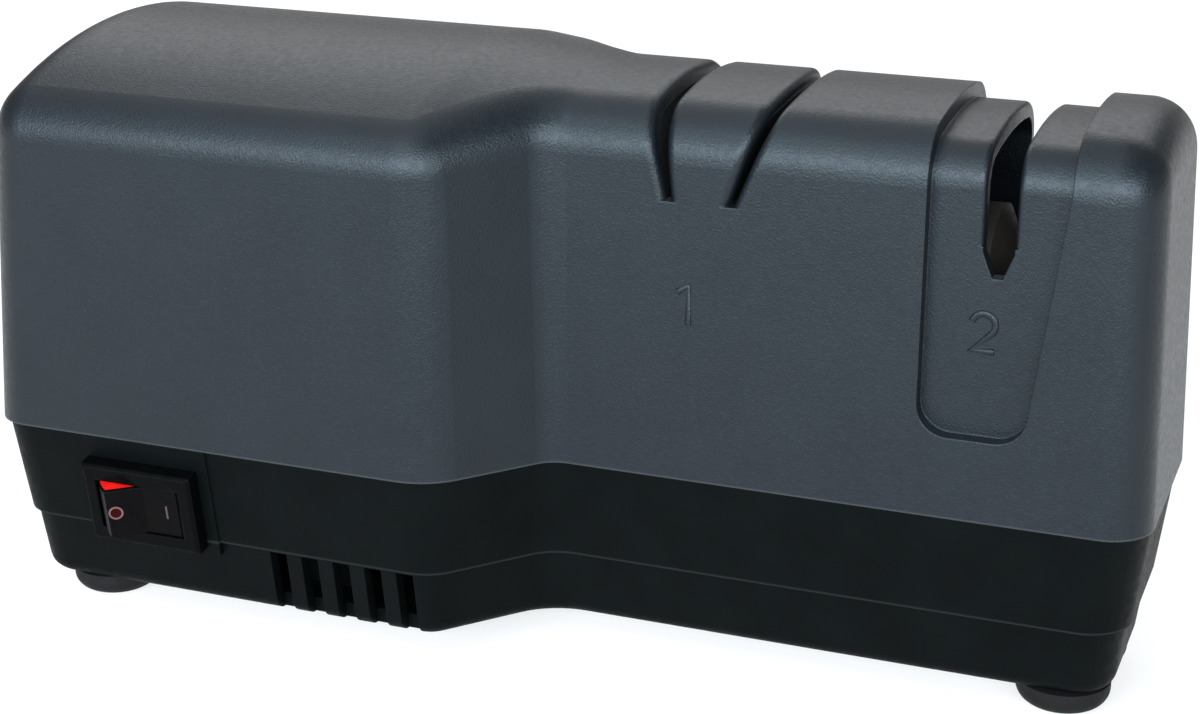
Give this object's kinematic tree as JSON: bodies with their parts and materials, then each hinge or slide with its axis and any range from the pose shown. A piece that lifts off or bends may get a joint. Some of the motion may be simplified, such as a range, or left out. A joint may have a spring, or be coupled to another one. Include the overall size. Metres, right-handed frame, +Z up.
{
  "type": "electric knife sharpener",
  "caption": "Electric knife sharpener with a wide motor end, slanted and upright blade slots in the narrow end, a rocker switch, cooling vents and rubber feet.",
  "frame": {"origin": "under the middle of the bounding box, on the surface that the feet stand on", "axes": "+X runs from the motor end to the sharpening end, -Y is the side with the switch, +Z is up"},
  "size_m": [0.1962, 0.087, 0.0999],
  "materials": {
    "cover_grey": "satin, finely textured",
    "base_black": "matte, finely textured",
    "foot_rubber": "matt",
    "gland_rubber": "matt",
    "switch_black": "semi-gloss",
    "rocker_red": "gloss",
    "rocker_black": "semi-gloss",
    "screw_steel": "zinc plated",
    "shaft_steel": "ground",
    "spring_steel": "drawn wire",
    "laminations": "stacked sheet",
    "rotor_iron": "turned",
    "cast_alloy": "die-cast",
    "bronze": "sintered",
    "brass": "stamped",
    "copper": "enamelled wire",
    "nylon": "natural",
    "fibre": "pressed fibre",
    "magnet": "ground",
    "abrasive": "diamond grit on steel",
    "hone_compound": "flexible polishing compound",
    "guide_plastic": "moulded"
  },
  "bodies": {
    "housing": {"top_cover": "cover_grey", "base_housing": "base_black", "housing_screws": "screw_steel", "cleanout_cover": "base_black", "filings_magnet": "magnet", "cord_gland": "gland_rubber", "switch_body": "switch_black", "stator_core": "laminations", "coil_yoke": "laminations", "coil_bobbin": "nylon", "coil_winding": "copper", "motor_screws": "screw_steel", "outboard_bearing": "bronze", "bearing_cap": "base_black", "cap_screws": "screw_steel", "knife_guide": "guide_plastic", "guide_screws": "screw_steel", "hone_holder": "guide_plastic", "hone_axle": "shaft_steel", "holder_screws": "screw_steel", "foot_rear_left": "foot_rubber", "foot_front_left": "foot_rubber", "foot_rear_right": "foot_rubber", "foot_front_right": "foot_rubber", "switch_terminal_left": "brass", "motor_bracket_left": "cast_alloy", "motor_bearing_left": "bronze", "hone_washer_left": "fibre", "switch_terminal_right": "brass", "motor_bracket_right": "cast_alloy", "motor_bearing_right": "bronze", "hone_washer_right": "fibre", "motor_pad_front": "foot_rubber", "motor_pad_rear": "foot_rubber"},
    "drive": {"rotor": "rotor_iron", "drive_shaft": "shaft_steel", "cooling_fan": "nylon", "thrust_washer_left": "fibre", "thrust_washer_right": "fibre", "drive_pin_left": "shaft_steel", "drive_pin_right": "shaft_steel", "disk_spring": "spring_steel"},
    "disk_left": {"abrasive_disk_left": "abrasive"},
    "disk_right": {"abrasive_disk_right": "abrasive"},
    "rocker": {"rocker_body": "rocker_red", "rocker_face": "rocker_black"},
    "hone_left": {"hone_wheel_left": "hone_compound"},
    "hone_right": {"hone_wheel_right": "hone_compound"}
  },
  "joints": [
    {"name": "drive_spin", "type": "hinge", "parent": "housing", "child": "drive", "pos_m": [0, 0, 0.0685], "axis": [1, 0, 0], "continuous": true},
    {"name": "disk_left_slide", "type": "slide", "parent": "drive", "child": "disk_left", "axis": [1, 0, 0], "range_m": [0, 0.0012], "stiffness_N_per_m": 800, "springref_m": -0.003, "deforming": ["disk_spring"]},
    {"name": "disk_right_slide", "type": "slide", "parent": "drive", "child": "disk_right", "axis": [-1, 0, 0], "range_m": [0, 0.0012], "stiffness_N_per_m": 800, "springref_m": -0.003, "deforming": ["disk_spring"]},
    {"name": "rocker_tilt", "type": "hinge", "parent": "housing", "child": "rocker", "pos_m": [-0.068, -0.03582, 0.02362], "axis": [0, -0.1564, 0.9877], "range_deg": [-30, 0]},
    {"name": "hone_left_spin", "type": "hinge", "parent": "housing", "child": "hone_left", "pos_m": [0.0724, 0, 0.068], "axis": [1, 0, 0], "continuous": true},
    {"name": "hone_right_spin", "type": "hinge", "parent": "housing", "child": "hone_right", "pos_m": [0.0724, 0, 0.068], "axis": [1, 0, 0], "continuous": true}
  ]
}
